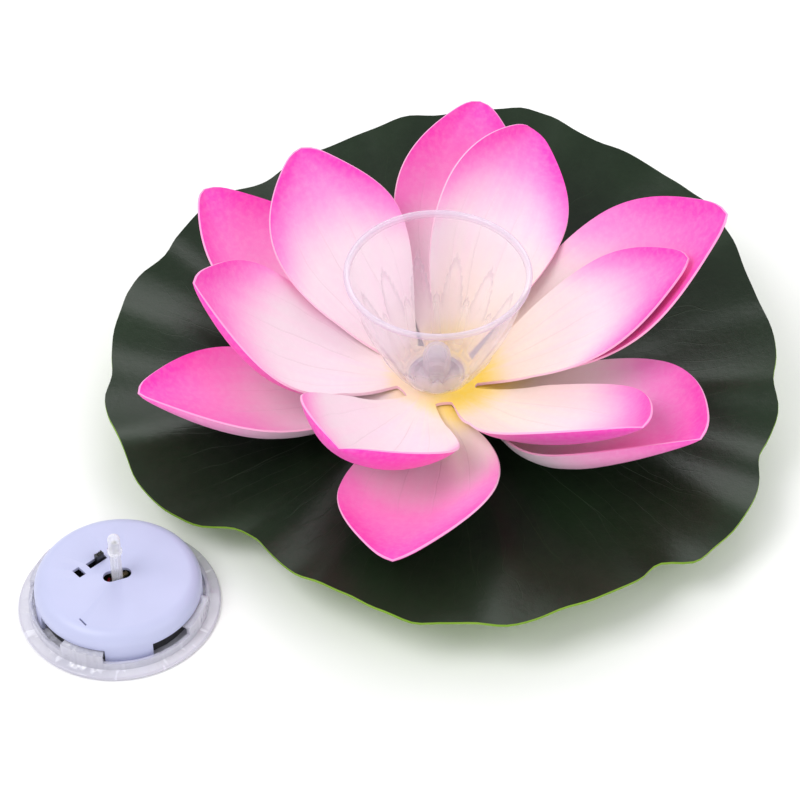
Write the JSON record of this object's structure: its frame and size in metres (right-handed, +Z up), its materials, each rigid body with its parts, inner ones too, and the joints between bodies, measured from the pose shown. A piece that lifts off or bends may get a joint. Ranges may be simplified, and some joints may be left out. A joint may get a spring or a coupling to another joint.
{
  "type": "floating pool light",
  "caption": "Foam lotus flower on its round leaf with a clear candle cup, and a battery light unit with hooked clear tray beside it.",
  "frame": {"origin": "middle of the footprint, on the surface that the flower's socket and the light unit stand on", "axes": "+Z up along the flower's axis, +X to the right and -Y to the front; the light unit lies at the front left"},
  "size_m": [0.3062, 0.2882, 0.0981],
  "materials": {
    "leaf_foam": "dark green pressed foam with a soft sheen",
    "petal_foam": "airbrushed pink and white matt foam",
    "clear_plastic": "clear moulded plastic",
    "clear_lens": "clear cast lens",
    "silicone": "translucent silicone",
    "white_plastic": "satin lavender-white moulding",
    "black_plastic": "satin black moulding",
    "steel": "bright plated steel",
    "board": "black solder mask",
    "resistor": "lacquered beige",
    "red_insulation": "glossy red insulation",
    "black_insulation": "glossy black insulation"
  },
  "bodies": {
    "flower": {"leaf_pad": "leaf_foam", "outer_petals": "petal_foam", "inner_petals": "petal_foam", "clear_cup": "clear_plastic", "socket_shell": "clear_plastic", "socket_seal": "silicone"},
    "light_tray": {"clear_tray": "clear_plastic"},
    "light_head": {"white_housing": "white_plastic", "inner_chassis": "black_plastic", "cell_lower": "steel", "cell_upper": "steel", "roof_contact": "steel", "floor_contact": "steel", "chassis_screw_1": "steel", "chassis_screw_2": "steel", "chassis_screw_3": "steel", "slide_switch": "black_plastic", "circuit_board": "board", "resistor": "resistor", "led_lamp": "clear_lens", "led_lead_long": "steel", "led_lead_short": "steel", "lead_sleeve": "clear_plastic", "red_wire": "red_insulation", "black_wire": "black_insulation"},
    "switch_lever": {"switch_lever": "black_plastic"}
  },
  "joints": [
    {"name": "light_unit_lift", "type": "slide", "parent": "flower", "child": "light_tray", "axis": [-0.2635, -0.218, 0.9397], "range_m": [0, 0.12]},
    {"name": "housing_twist", "type": "hinge", "parent": "light_tray", "child": "light_head", "pos_m": [-0.11307, -0.10412, 0], "axis": [0, 0, 1], "range_deg": [0, 26]},
    {"name": "lever_slide", "type": "slide", "parent": "light_head", "child": "switch_lever", "axis": [-0.7314, -0.682, 0], "range_m": [0, 0.003]}
  ]
}
